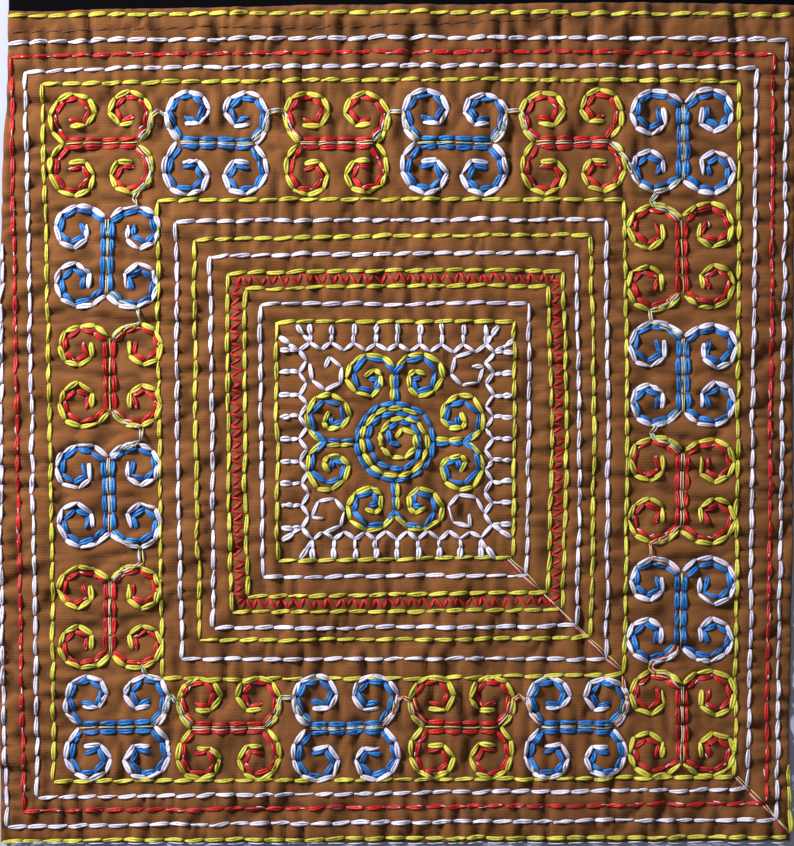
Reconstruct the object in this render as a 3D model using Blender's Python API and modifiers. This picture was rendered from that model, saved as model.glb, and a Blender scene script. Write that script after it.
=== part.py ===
"""A square embroidery panel of brown cotton with a black band sewn under its top edge.

Metres, +Z up. The panel lies face up on the plane z = 0 with its top edge towards +Y, and the origin is
the middle of the underside of the box around both pieces. Each piece is one sheet: a grid laid along
its own uneven edges, raised where the cloth lies in folds, and given its thickness upwards, so that the
underside stays flat wherever the cloth touches what it lies on.
"""

import math
from collections import namedtuple

import bmesh
import bpy
import numpy as np

# Driving sizes
PANEL_WIDTH = 0.1995
PANEL_DEPTH = 0.2100
PANEL_THICKNESS = 0.0012
BAND_THICKNESS = 0.0010
BAND_SHOWN = 0.0120
SEAM_OVERLAP = 0.0048
GAP = 0.0003
EDGE_ROUNDING = 0.0003
EDGE_ROUNDING_SEGMENTS = 2
SHARP_EDGE_DEGREES = 60

# Grid cells: the panel's rows are split so that one grid line runs along the seam
PANEL_COLUMNS = 40
PANEL_ROWS_BELOW_SEAM = 41
PANEL_ROWS_OVER_SEAM = 2
BAND_COLUMNS = 40
BAND_ROWS = 3

# Where the two pieces lie
TOTAL_DEPTH = PANEL_DEPTH + BAND_SHOWN
PANEL_BOTTOM_Y = -TOTAL_DEPTH / 2
PANEL_TOP_Y = PANEL_BOTTOM_Y + PANEL_DEPTH
BAND_TOP_Y = TOTAL_DEPTH / 2
SEAM_LIFT = BAND_THICKNESS + GAP
BAND_UNDER_PANEL = SEAM_OVERLAP - 2 * GAP

# How far each edge is drawn in from the full size. along runs 0 to 1, upwards or to the right.
EdgeStation = namedtuple("EdgeStation", "along drawn_in")
PANEL_LEFT_EDGE = (
    EdgeStation(0.00, 0.0007),
    EdgeStation(0.14, 0.0002),
    EdgeStation(0.30, 0.0000),
    EdgeStation(0.52, 0.0000),
    EdgeStation(0.68, 0.0005),
    EdgeStation(0.81, 0.0011),
    EdgeStation(0.90, 0.0022),
    EdgeStation(1.00, 0.0027),
)
PANEL_RIGHT_EDGE = (
    EdgeStation(0.00, 0.0014),
    EdgeStation(0.10, 0.0017),
    EdgeStation(0.24, 0.0012),
    EdgeStation(0.40, 0.0007),
    EdgeStation(0.64, 0.0006),
    EdgeStation(0.88, 0.0000),
    EdgeStation(1.00, 0.0000),
)
PANEL_TOP_EDGE = (
    EdgeStation(0.00, 0.0022),
    EdgeStation(0.25, 0.0012),
    EdgeStation(0.40, 0.0005),
    EdgeStation(0.62, 0.0004),
    EdgeStation(0.74, 0.0000),
    EdgeStation(0.82, 0.0000),
    EdgeStation(1.00, 0.0006),
)
PANEL_BOTTOM_EDGE = (
    EdgeStation(0.00, 0.0003),
    EdgeStation(0.20, 0.0000),
    EdgeStation(0.55, 0.0001),
    EdgeStation(0.80, 0.0000),
    EdgeStation(1.00, 0.0005),
)
BAND_LEFT_INSET = 0.0026
BAND_RIGHT_INSET = 0.0003
BAND_CORNER_INSET = 0.0008

# The main folds: where the cloth stands off the surface. x and y are from the panel's middle, heading
# is the crest's direction from +X, and half_width is where the fold has fallen to about a third.
Fold = namedtuple("Fold", "x y heading half_length half_width height")
FOLDS = (
    Fold(-0.0905, 0.066, 4, 0.010, 0.0050, 0.0005),
    Fold(-0.0900, 0.038, -6, 0.011, 0.0055, 0.0006),
    Fold(-0.0890, 0.007, 5, 0.012, 0.0055, 0.0005),
    Fold(-0.0900, -0.027, -8, 0.012, 0.0060, 0.0007),
    Fold(-0.0890, -0.061, 8, 0.012, 0.0055, 0.0006),
    Fold(-0.0700, -0.092, 96, 0.013, 0.0060, 0.0006),
    Fold(-0.0330, -0.090, 84, 0.014, 0.0060, 0.0007),
    Fold(0.0040, -0.091, 98, 0.014, 0.0060, 0.0006),
    Fold(0.0420, -0.090, 78, 0.014, 0.0055, 0.0007),
    Fold(0.0800, -0.080, 38, 0.014, 0.0060, 0.0008),
    Fold(0.0890, -0.043, 14, 0.011, 0.0060, 0.0006),
    Fold(0.0880, -0.008, 8, 0.011, 0.0055, 0.0006),
    Fold(0.0885, 0.030, 12, 0.011, 0.0060, 0.0005),
    Fold(0.0870, 0.064, -4, 0.011, 0.0055, 0.0005),
    Fold(-0.0250, -0.048, 52, 0.020, 0.0065, 0.0007),
    Fold(0.0160, -0.050, 60, 0.018, 0.0065, 0.0006),
    Fold(0.0490, -0.036, 35, 0.017, 0.0065, 0.0007),
    Fold(0.0480, 0.012, 10, 0.015, 0.0060, 0.0005),
    Fold(-0.0480, 0.010, -10, 0.016, 0.0065, 0.0006),
    Fold(-0.0450, -0.028, 15, 0.015, 0.0060, 0.0005),
    Fold(0.0180, 0.042, 86, 0.015, 0.0060, 0.0005),
    Fold(-0.0280, 0.044, 98, 0.016, 0.0060, 0.0005),
    Fold(-0.0550, 0.088, 88, 0.013, 0.0055, 0.0005),
    Fold(0.0500, 0.088, 94, 0.013, 0.0055, 0.0005),
)
LYING_FLAT_BELOW = 0.0001
FOLD_END_POWER = 4

# Colours as seen in daylight: red, green, blue
BROWN_COTTON = (0.26, 0.10, 0.03)
BLACK_COTTON = (0.006, 0.006, 0.008)
COTTON_ROUGHNESS = 0.9


def eased(table, position):
    """The table's drawn_in at a position along the edge, eased from station to station."""
    spots = np.array([station.along for station in table])
    values = np.array([station.drawn_in for station in table])
    index = int(np.clip(np.searchsorted(spots, position, side="right") - 1, 0, len(spots) - 2))
    share = (position - spots[index]) / (spots[index + 1] - spots[index])
    return float(values[index] + smooth(share) * (values[index + 1] - values[index]))


def smooth(share):
    """A share from 0 to 1 with a level start and end."""
    share = min(max(share, 0.0), 1.0)
    return share * share * (3 - 2 * share)


def mix(first, second, share):
    """The value a share of the way from first to second."""
    return first + (second - first) * share


def fold_height(x, y):
    """How far the folds lift the cloth at a point: each is a crest that fades along and across."""
    total = 0.0
    for fold in FOLDS:
        turn = math.radians(fold.heading)
        east, north = x - fold.x, y - fold.y
        along = (east * math.cos(turn) + north * math.sin(turn)) / fold.half_length
        across = (north * math.cos(turn) - east * math.sin(turn)) / fold.half_width
        total += fold.height * math.exp(-(along**FOLD_END_POWER) - across**2)
    return max(0.0, total - LYING_FLAT_BELOW)


def panel_top_edge_y(across):
    """The panel's top edge at a share of its width."""
    return PANEL_TOP_Y - eased(PANEL_TOP_EDGE, across)


def panel_point(across, up):
    """A point of the panel's underside, from shares of the grid's width and height."""
    all_rows = PANEL_ROWS_BELOW_SEAM + PANEL_ROWS_OVER_SEAM
    row = up * all_rows
    top = panel_top_edge_y(across)
    seam = top - SEAM_OVERLAP
    bottom = PANEL_BOTTOM_Y + eased(PANEL_BOTTOM_EDGE, across)
    if row <= PANEL_ROWS_BELOW_SEAM:
        y = mix(bottom, seam, row / PANEL_ROWS_BELOW_SEAM)
    else:
        y = mix(seam, top, (row - PANEL_ROWS_BELOW_SEAM) / PANEL_ROWS_OVER_SEAM)
    height = (y - PANEL_BOTTOM_Y) / PANEL_DEPTH
    left = -PANEL_WIDTH / 2 + eased(PANEL_LEFT_EDGE, height)
    right = PANEL_WIDTH / 2 - eased(PANEL_RIGHT_EDGE, height)
    x = mix(left, right, across)
    lift = SEAM_LIFT * smooth(row - PANEL_ROWS_BELOW_SEAM + 1)
    return x, y, lift + fold_height(x, y - (PANEL_BOTTOM_Y + PANEL_DEPTH / 2))


def band_point(across, up):
    """A point of the band's underside: its hidden edge follows the panel's top edge, and it lies flat."""
    near = panel_top_edge_y(across) - BAND_UNDER_PANEL
    corner = BAND_CORNER_INSET * smooth(up)
    left = -PANEL_WIDTH / 2 + BAND_LEFT_INSET + corner
    right = PANEL_WIDTH / 2 - BAND_RIGHT_INSET
    return mix(left, right, across), mix(near, BAND_TOP_Y, up), 0.0


def cotton(name, colour):
    """A matt cotton material of one colour."""
    material = bpy.data.materials.new(name)
    material.use_nodes = True
    shader = material.node_tree.nodes["Principled BSDF"]
    shader.inputs["Base Color"].default_value = (*colour, 1.0)
    shader.inputs["Roughness"].default_value = COTTON_ROUGHNESS
    shader.inputs["Metallic"].default_value = 0.0
    return material


def sheet(name, columns, rows, point, thickness, material, collection):
    """One sheet of cloth: a grid of points on its underside, thickened upwards, its edges rounded."""
    grid = bmesh.new()
    bmesh.ops.create_grid(grid, x_segments=columns, y_segments=rows, size=0.5)
    for vertex in grid.verts:
        vertex.co = point(vertex.co.x + 0.5, vertex.co.y + 0.5)
    mesh = bpy.data.meshes.new(name)
    grid.to_mesh(mesh)
    grid.free()
    mesh.materials.append(material)
    piece = bpy.data.objects.new(name, mesh)
    collection.objects.link(piece)
    solidify = piece.modifiers.new("thickness", "SOLIDIFY")
    solidify.thickness = thickness
    solidify.offset = 1.0
    solidify.use_even_offset = True
    bevel = piece.modifiers.new("turned edge", "BEVEL")
    bevel.width = EDGE_ROUNDING
    bevel.segments = EDGE_ROUNDING_SEGMENTS
    bevel.limit_method = "ANGLE"
    bevel.angle_limit = math.radians(SHARP_EDGE_DEGREES)
    return piece


def build():
    """Clears the scene and makes the two pieces in a collection of their own."""
    for old in list(bpy.data.objects):
        bpy.data.objects.remove(old)
    collection = bpy.data.collections.new("embroidered_cloth")
    bpy.context.scene.collection.children.link(collection)
    sheet(
        "panel",
        PANEL_COLUMNS,
        PANEL_ROWS_BELOW_SEAM + PANEL_ROWS_OVER_SEAM,
        panel_point,
        PANEL_THICKNESS,
        cotton("brown_cotton", BROWN_COTTON),
        collection,
    )
    sheet(
        "top_band",
        BAND_COLUMNS,
        BAND_ROWS,
        band_point,
        BAND_THICKNESS,
        cotton("black_cotton", BLACK_COTTON),
        collection,
    )


build()
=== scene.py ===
"""Looks for a brown cotton panel embroidered with square borders and traditional scroll motifs.

The panel lies face up. Its design is charted in quarter millimetres, x to the right and y down from
the upper left, as an embroiderer's chart is. Each stitch is a short run of two plies that dives into
the cloth at both ends, and the cloth sinks under each one and puckers across the rows.
"""

from __future__ import annotations

import logging
import math
from dataclasses import dataclass, field
from enum import Enum
from typing import Sequence

import bpy
import numpy as np
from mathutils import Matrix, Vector
from mathutils.bvhtree import BVHTree


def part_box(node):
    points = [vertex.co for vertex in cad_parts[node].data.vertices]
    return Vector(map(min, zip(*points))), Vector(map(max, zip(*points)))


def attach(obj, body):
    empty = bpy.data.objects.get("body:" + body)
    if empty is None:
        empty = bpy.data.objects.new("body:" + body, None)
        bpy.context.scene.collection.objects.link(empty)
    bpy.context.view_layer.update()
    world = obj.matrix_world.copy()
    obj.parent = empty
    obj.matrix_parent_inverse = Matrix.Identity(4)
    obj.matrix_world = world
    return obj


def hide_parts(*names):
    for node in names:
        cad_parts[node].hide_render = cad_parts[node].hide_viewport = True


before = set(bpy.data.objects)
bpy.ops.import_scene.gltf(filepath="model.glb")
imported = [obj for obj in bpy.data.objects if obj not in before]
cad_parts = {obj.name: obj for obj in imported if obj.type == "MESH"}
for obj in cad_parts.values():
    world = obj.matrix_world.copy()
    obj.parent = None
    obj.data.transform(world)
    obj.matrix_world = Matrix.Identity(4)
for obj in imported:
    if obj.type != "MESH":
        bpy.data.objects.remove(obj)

LOG = logging.getLogger("embroidered_cloth")

# The chart: one unit is a quarter of a millimetre, and its middle is the panel's middle
CHART_UNIT = 0.00025
CHART_MIDDLE = (397.0, 423.0)
PICTURE_SIZE = (794, 846)
MM = 0.001

Array = np.ndarray


class Thread(Enum):
    """The threads in the maker's basket."""

    YELLOW = "yellow"
    WHITE = "white"
    RED = "red"
    BLUE = "blue"
    CREAM = "cream"
    PALE = "pale"
    TEAL = "teal"
    BROWN = "brown"


class Turn(Enum):
    """Which way a motif's bar runs."""

    LYING = 0
    STANDING = 1


# Small tools for arrays


def eased(share: Array) -> Array:
    """A share from 0 to 1 with a level start and end."""
    share = np.clip(share, 0.0, 1.0)
    return share * share * (3.0 - 2.0 * share)


def unit(vectors: Array) -> Array:
    """Vectors along the last axis, made one long."""
    return vectors / np.maximum(np.linalg.norm(vectors, axis=-1, keepdims=True), 1e-12)


def holes_along(points: Array, count: int) -> Array:
    """Needle holes at equal lengths along a line.

    Args:
        points: the line's points, one row each.
        count: how many stitches the line takes.

    Returns:
        count + 1 points.
    """
    steps = np.linalg.norm(np.diff(points, axis=0), axis=1)
    run = np.concatenate([[0.0], np.cumsum(steps)])
    wanted = np.linspace(0.0, run[-1], count + 1)
    return np.stack([np.interp(wanted, run, points[:, k]) for k in (0, 1)], axis=1)


def spiral(stations: Sequence[tuple[float, float]], samples: int = 160) -> Array:
    """A line about (0, 0) whose radius changes with its angle, from (degrees, radius) stations."""
    table = np.array(stations, float)
    share = np.linspace(0.0, 1.0, samples)
    spots = np.linspace(0.0, 1.0, len(table))
    angle = np.radians(np.interp(share, spots, table[:, 0]))
    radius = np.interp(share, spots, table[:, 1])
    return np.stack([radius * np.cos(angle), radius * np.sin(angle)], axis=1)


@dataclass(frozen=True)
class LatticeNoise:
    """Even bumps: random heights at the points of a lattice, eased in between.

    The lattice's cells are cell_x by cell_y metres and it is turned by heading degrees.
    """

    seed: int
    cell_x: float
    cell_y: float
    heading: float = 0.0
    size: int = 96

    def at(self, x: Array, y: Array) -> Array:
        """Heights from -1 to 1 at points x, y in metres."""
        heights = np.random.default_rng(self.seed).uniform(-1.0, 1.0, (self.size, self.size))
        turn = math.radians(self.heading)
        u = (x * math.cos(turn) + y * math.sin(turn)) / self.cell_x
        v = (y * math.cos(turn) - x * math.sin(turn)) / self.cell_y
        column = np.floor(u).astype(int)
        row = np.floor(v).astype(int)
        fu, fv = eased(u - column), eased(v - row)
        near, far = row % self.size, (row + 1) % self.size
        left, right = column % self.size, (column + 1) % self.size
        low = heights[near, left] * (1 - fu) + heights[near, right] * fu
        high = heights[far, left] * (1 - fu) + heights[far, right] * fu
        return low * (1 - fv) + high * fv


@dataclass(frozen=True)
class HeightMap:
    """Heights on an even grid over the panel, read in between by straight blending."""

    low: tuple[float, float]
    cell: float
    heights: Array

    def at(self, x: Array, y: Array) -> Array:
        """The height at points x, y in metres; outside the grid its edge value holds."""
        rows, columns = self.heights.shape
        u = np.clip((x - self.low[0]) / self.cell, 0.0, columns - 1.001)
        v = np.clip((y - self.low[1]) / self.cell, 0.0, rows - 1.001)
        column, row = np.floor(u).astype(int), np.floor(v).astype(int)
        fu, fv = u - column, v - row
        low = self.heights[row, column] * (1 - fu) + self.heights[row, column + 1] * fu
        high = self.heights[row + 1, column] * (1 - fu) + self.heights[row + 1, column + 1] * fu
        return low * (1 - fv) + high * fv


def blurred(values: Array, spread: float) -> Array:
    """A grid's values after a round Gaussian blur, spread in cells, by way of its frequencies."""
    down = np.fft.fftfreq(values.shape[0])[:, None]
    across = np.fft.rfftfreq(values.shape[1])[None, :]
    fall = np.exp(-2.0 * (math.pi * spread) ** 2 * (down**2 + across**2))
    return np.fft.irfft2(np.fft.rfft2(values) * fall, s=values.shape)


# Shader expressions


@dataclass
class Value:
    """A shader socket in an expression. Each operator adds one Math node."""

    shop: NodeShop
    socket: object

    def _math(self, operation: str, *values: object) -> Value:
        """The Value of a Math node with this operation on the values."""
        node_inputs = {index: value for index, value in enumerate(values)}
        return Value(self.shop, self.shop.add("ShaderNodeMath", {"operation": operation}, node_inputs))

    def __add__(self, other: object) -> Value:
        """self + other"""
        return self._math("ADD", self, other)

    __radd__ = __add__

    def __mul__(self, other: object) -> Value:
        """self * other"""
        return self._math("MULTIPLY", self, other)

    __rmul__ = __mul__

    def __sub__(self, other: object) -> Value:
        """self - other"""
        return self._math("SUBTRACT", self, other)

    def __rsub__(self, other: object) -> Value:
        """other - self"""
        return self._math("SUBTRACT", other, self)

    def sine(self) -> Value:
        """The sine of self, in radians."""
        return self._math("SINE", self)

    def clamped(self) -> Value:
        """self, held between 0 and 1."""
        return self._math("MINIMUM", self._math("MAXIMUM", self, 0.0), 1.0)

    def power(self, exponent: float) -> Value:
        """self raised to a power."""
        return self._math("POWER", self, exponent)


@dataclass
class NodeShop:
    """Adds nodes to one material and wires them."""

    material: bpy.types.Material
    tree: bpy.types.NodeTree = field(init=False)
    shader: bpy.types.Node = field(init=False)

    def __post_init__(self) -> None:
        """Starts the material's node tree and finds its shader."""
        self.material.use_nodes = True
        self.tree = self.material.node_tree
        self.shader = self.tree.nodes["Principled BSDF"]

    def add(
        self,
        kind: str,
        settings: dict[str, object] | None = None,
        inputs: dict[object, object] | None = None,
        output: object = 0,
    ) -> bpy.types.NodeSocket:
        """One node with its settings and inputs.

        Args:
            kind: Blender's name of the node type.
            settings: the node's own properties, set first.
            inputs: a value, socket or Value for each named or numbered input.
            output: the name or number of the wanted output.

        Returns:
            The wanted output socket.
        """
        node = self.tree.nodes.new(kind)
        for name, value in (settings or {}).items():
            setattr(node, name, value)
        for name, value in (inputs or {}).items():
            self.feed(node.inputs[name], value)
        return node.outputs[output]

    def feed(self, socket: bpy.types.NodeSocket, value: object) -> None:
        """Sets or links one socket."""
        if isinstance(value, Value):
            value = value.socket
        if isinstance(value, bpy.types.NodeSocket):
            self.tree.links.new(value, socket)
        else:
            socket.default_value = value

    def value(self, socket: bpy.types.NodeSocket) -> Value:
        """A socket as the start of an expression."""
        return Value(self, socket)

    def noise(self, vector: object, scale: float, detail: float = 2.0, rough: float = 0.5) -> Value:
        """Noise from 0 to 1 at a vector."""
        inputs = {"Vector": vector, "Scale": scale, "Detail": detail, "Roughness": rough}
        return self.value(self.add("ShaderNodeTexNoise", {"noise_dimensions": "3D"}, inputs))

    def blend(self, share: object, first: object, second: object) -> bpy.types.NodeSocket:
        """A colour a share of the way from first to second."""
        inputs = {0: share, 6: first, 7: second}
        return self.add("ShaderNodeMix", {"data_type": "RGBA"}, inputs, 2)

    def tint(self, colour: object, factor: object) -> bpy.types.NodeSocket:
        """A colour times a number, by way of a grey of that number."""
        grey = self.add("ShaderNodeCombineColor", {}, {0: factor, 1: factor, 2: factor})
        inputs = {0: 1.0, 6: colour, 7: grey}
        return self.add("ShaderNodeMix", {"data_type": "RGBA", "blend_type": "MULTIPLY"}, inputs, 2)

    def stretched(self, vector: object, scale: tuple[float, float, float]) -> bpy.types.NodeSocket:
        """A vector stretched along its axes."""
        return self.add("ShaderNodeMapping", {}, {"Vector": vector, "Scale": scale})

    def bump(self, height: object, depth: float, strength: float) -> bpy.types.NodeSocket:
        """A normal from a height of 0 to 1 that stands for depth metres."""
        inputs = {"Strength": strength, "Distance": depth, "Height": height}
        return self.add("ShaderNodeBump", {}, inputs)


Colour = tuple[float, float, float]


def opaque(colour: Colour) -> tuple[float, float, float, float]:
    """A colour with full alpha."""
    return (*colour, 1.0)


@dataclass(frozen=True)
class CottonFinish:
    """Plain-woven cotton: crossing threads, slubs along the weft, clouds of wear and painted shade that darkens the
    cloth in its troughs, needle holes and hollows.
    """

    name: str
    light: Colour
    dark: Colour
    weft_pitch: float = 0.00040
    warp_pitch: float = 0.00046
    weave_depth: float = 0.00007
    roughness: float = 0.88
    sheen: float = 0.06
    gloss: float = 0.15

    def material(self) -> bpy.types.Material:
        """The finish as a material that reads Object coordinates and the painted shade attribute."""
        shop = NodeShop(bpy.data.materials.new(self.name))
        place = shop.add("ShaderNodeTexCoord", {}, {}, "Object")
        parts = shop.tree.nodes.new("ShaderNodeSeparateXYZ")
        shop.feed(parts.inputs[0], place)
        wander = shop.noise(shop.stretched(place, (40.0, 160.0, 40.0)), 1.0, 2.0)
        drift = shop.noise(shop.stretched(place, (160.0, 40.0, 40.0)), 1.0, 2.0)
        weft = (shop.value(parts.outputs[1]) * (2 * math.pi / self.weft_pitch) + wander * 9.0).sine()
        warp = (shop.value(parts.outputs[0]) * (2 * math.pi / self.warp_pitch) + drift * 9.0).sine()
        weave = (weft * 0.36 + warp * 0.08 + 0.5).clamped()
        slub = shop.noise(shop.stretched(place, (130.0, 2300.0, 130.0)), 1.0, 3.0, 0.6)
        cloud = shop.noise(place, 38.0, 4.0, 0.6)
        fuzz = shop.noise(place, 2600.0, 2.0, 0.6)
        # painted shade: the attribute darkens the base colour by up to a half in troughs, needle holes and hollows
        painted_shade = shop.value(shop.add("ShaderNodeAttribute", {"attribute_name": "painted_shade"}, {}, "Fac"))
        share = (cloud * 0.75 + slub * 0.55 + weave * 0.30 + fuzz * 0.35 - 0.52).clamped()
        colour = shop.blend(share, opaque(self.dark), opaque(self.light))
        shop.feed(shop.shader.inputs["Base Color"], shop.tint(colour, 1.0 - painted_shade * 0.50))
        height = weave * 0.7 + slub * 0.45 + fuzz * 0.35
        shop.feed(shop.shader.inputs["Normal"], shop.bump(height, self.weave_depth, 0.9))
        shop.shader.inputs["Roughness"].default_value = self.roughness
        shop.shader.inputs["Sheen Weight"].default_value = self.sheen
        shop.shader.inputs["Sheen Roughness"].default_value = 0.5
        shop.shader.inputs["Specular IOR Level"].default_value = self.gloss
        return shop.material


@dataclass(frozen=True)
class ThreadFinish:
    """Spun thread: streaks of fibre along each ply, each stitch a little lighter or darker at random, each ply darker
    towards its ends by painted shade.
    """

    name: str
    slot: str
    light: Colour
    dark: Colour
    roughness: float = 0.45
    sheen: float = 0.12

    def material(self) -> bpy.types.Material:
        """The finish as a material that reads the ply's UV map and the attribute tone: a random tone for each stitch
        with painted shade at the ply's ends.
        """
        shop = NodeShop(bpy.data.materials.new(self.name))
        ply = shop.add("ShaderNodeUVMap", {"uv_map": "ply"})
        parts = shop.tree.nodes.new("ShaderNodeSeparateXYZ")
        shop.feed(parts.inputs[0], ply)
        around, along = shop.value(parts.outputs[0]), shop.value(parts.outputs[1])
        lay = shop.add("ShaderNodeCombineXYZ", {}, {0: around * 5.0 + along * 0.9, 1: along * 0.35})
        streak = shop.noise(lay, 1.6, 3.0, 0.65)
        patch = shop.noise(lay, 0.35, 1.0)
        # the tone attribute: a random tone for each stitch, with painted shade towards the ply's ends
        tone = shop.value(shop.add("ShaderNodeAttribute", {"attribute_name": "tone"}, {}, "Fac"))
        share = ((streak - 0.5) * 1.9 + (patch - 0.5) * 0.7 + tone).clamped()
        shop.feed(shop.shader.inputs["Base Color"], shop.blend(share, opaque(self.dark), opaque(self.light)))
        shop.feed(shop.shader.inputs["Normal"], shop.bump(streak, 0.00016, 0.8))
        shop.shader.inputs["Roughness"].default_value = self.roughness
        shop.shader.inputs["Sheen Weight"].default_value = self.sheen
        shop.shader.inputs["Sheen Roughness"].default_value = 0.4
        shop.shader.inputs["Specular IOR Level"].default_value = 0.4
        return shop.material


BROWN_COTTON = CottonFinish("brown_cotton_weave", (0.262, 0.102, 0.030), (0.115, 0.039, 0.010))
BLACK_COTTON = CottonFinish("black_cotton_weave", (0.0026, 0.0026, 0.0036), (0.0010, 0.0010, 0.0014), sheen=0.0, gloss=0.03)
FINISHES = {
    Thread.YELLOW: ThreadFinish(
        "yellow_spun", "yellow_thread", (0.880, 0.840, 0.110), (0.280, 0.245, 0.008)
    ),
    Thread.WHITE: ThreadFinish("white_spun", "white_thread", (0.940, 0.910, 1.000), (0.430, 0.390, 0.560)),
    Thread.RED: ThreadFinish("red_spun", "red_thread", (0.760, 0.010, 0.012), (0.260, 0.003, 0.006)),
    Thread.BLUE: ThreadFinish("blue_spun", "blue_thread", (0.022, 0.290, 0.820), (0.002, 0.036, 0.190)),
    Thread.CREAM: ThreadFinish("cream_spun", "yellow_thread", (0.860, 0.720, 0.240), (0.480, 0.330, 0.080)),
    Thread.PALE: ThreadFinish("pale_spun", "white_thread", (0.900, 0.780, 0.780), (0.600, 0.360, 0.380)),
    Thread.TEAL: ThreadFinish("teal_spun", "blue_thread", (0.300, 0.620, 0.640), (0.060, 0.240, 0.300)),
    Thread.BROWN: ThreadFinish("brown_spun", "brown_cotton", (0.130, 0.045, 0.014), (0.050, 0.016, 0.006)),
}


# Stitches


@dataclass(frozen=True)
class StitchKind:
    """How a stitch is laid: its plies, their radius, how far they part and how high they stand."""

    plies: int
    radius: float
    parting: float
    lift: float
    slack: float = 0.00010
    dent: float = 1.0


STOUT = StitchKind(plies=2, radius=0.00030, parting=0.00027, lift=0.00022)
SCROLL = StitchKind(plies=2, radius=0.00037, parting=0.00035, lift=0.00024)
SNUG = StitchKind(plies=2, radius=0.00033, parting=0.00029, lift=0.00022)
SLIM = StitchKind(plies=2, radius=0.00030, parting=0.00024, lift=0.00020)
LOOPED = StitchKind(plies=2, radius=0.00037, parting=0.00040, lift=0.00030)
ZIGZAG = StitchKind(plies=2, radius=0.00019, parting=0.00014, lift=0.00016, dent=0.6)
HAIRLINE = StitchKind(plies=1, radius=0.00016, parting=0.0, lift=0.00030, dent=0.3)
CARRIED = StitchKind(plies=1, radius=0.00016, parting=0.0, lift=0.00078, slack=0.00016, dent=0.0)
SEAM = StitchKind(plies=1, radius=0.00018, parting=0.0, lift=0.00004, dent=1.0)


@dataclass
class Run:
    """Stitches of one thread and kind: where each starts and ends on the chart."""

    piece: str
    thread: Thread
    kind: StitchKind
    starts: Array
    ends: Array


@dataclass
class StitchPlan:
    """Every stitch on the panel, gathered before the cloth and the threads are made."""

    runs: list[Run] = field(default_factory=list)
    rng: np.random.Generator = field(default_factory=lambda: np.random.default_rng(20))

    def add(self, piece: str, thread: Thread, kind: StitchKind, starts: Array, ends: Array) -> None:
        """Adds stitches between chart points."""
        self.runs.append(Run(piece, thread, kind, np.atleast_2d(starts), np.atleast_2d(ends)))

    def sew(
        self,
        piece: str,
        thread: Thread,
        kind: StitchKind,
        holes: Array,
        cover: float = 0.96,
        slant: float = 0.5,
        unevenness: float = 0.45,
    ) -> None:
        """Sews from hole to hole.

        Args:
            piece: the piece the stitches belong to.
            thread: the thread.
            kind: how each stitch is laid.
            holes: chart points in sewing order.
            cover: the share of each gap that the stitch covers.
            slant: how far each stitch leans across the line, in chart units.
            unevenness: how far a hole strays, in chart units.
        """
        holes = holes + self.rng.normal(0.0, unevenness, holes.shape).clip(-1.5, 1.5)
        starts, ends = holes[:-1], holes[1:]
        ahead = ends - starts
        across = unit(np.stack([-ahead[:, 1], ahead[:, 0]], axis=1))
        trim = ahead * (1.0 - cover) / 2
        lean = slant * self.rng.uniform(0.5, 1.5, (len(starts), 1))
        self.add(piece, thread, kind, starts + trim + across * lean, ends - trim - across * lean)

    def counted(self) -> int:
        """How many stitches there are."""
        return sum(len(run.starts) for run in self.runs)


def bowed(start: Sequence[float], end: Sequence[float], bow: Sequence[float], samples: int = 60) -> Array:
    """A line from start to end whose middle is pushed over by bow, on a parabola."""
    share = np.linspace(0.0, 1.0, samples)[:, None]
    first, last = np.array(start, float), np.array(end, float)
    return first + (last - first) * share + np.array(bow, float) * 4 * share * (1 - share)


@dataclass(frozen=True)
class SquareRow:
    """One square row of running stitch: its four corners and how far each side bows off straight."""

    thread: Thread
    top_left: tuple[float, float]
    top_right: tuple[float, float]
    bottom_right: tuple[float, float]
    bottom_left: tuple[float, float]
    bow_top: float
    bow_right: float
    bow_bottom: float
    bow_left: float

    def sides(self) -> dict[str, Array]:
        """The four sides as lines, top and bottom from the left, left and right from the top."""
        return {
            "top": bowed(self.top_left, self.top_right, (0.0, self.bow_top)),
            "right": bowed(self.top_right, self.bottom_right, (self.bow_right, 0.0)),
            "bottom": bowed(self.bottom_left, self.bottom_right, (0.0, self.bow_bottom)),
            "left": bowed(self.top_left, self.bottom_left, (self.bow_left, 0.0)),
        }


Y, W, R = Thread.YELLOW, Thread.WHITE, Thread.RED
SQUARE_ROWS = (
    SquareRow(W, (8, 43), (787, 41), (776, 820), (7, 827), -4.0, 0.5, -1.3, -6.8),
    SquareRow(R, (11, 57), (773, 54), (766, 803), (24, 811), -3.5, 0.7, 0.0, -0.5),
    SquareRow(W, (25, 71), (756, 68), (748, 789), (38, 797), -3.7, 0.5, 0.0, 0.5),
    SquareRow(Y, (42, 84), (739, 81), (734, 777), (54, 781), -2.8, 1.5, 0.5, 2.0),
    SquareRow(Y, (157, 201), (624, 200), (624, 674), (162, 678), -1.3, 3.0, 2.0, 0.0),
    SquareRow(W, (176, 222), (606, 220), (606, 659), (182, 659), -1.0, 2.0, 0.0, -1.0),
    SquareRow(Y, (194, 240), (590, 235), (590, 637), (200, 640), -1.5, 4.0, 1.0, -1.0),
    SquareRow(W, (210, 256), (576, 253), (577, 625), (214, 628), -0.8, 2.5, 1.0, 0.0),
    SquareRow(Y, (227, 273), (563, 271), (562, 609), (232, 612), -1.5, 3.5, 0.8, -1.5),
    SquareRow(Y, (245, 289), (548, 286), (548, 592), (248, 596), -1.5, 3.5, 0.3, -1.5),
    SquareRow(W, (260, 304), (528, 303), (527, 575), (263, 577), 0.0, 1.5, 0.0, 0.0),
    SquareRow(Y, (276, 322), (514, 321), (513, 557), (278, 561), 0.0, 1.0, 0.0, 0.0),
)


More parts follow.
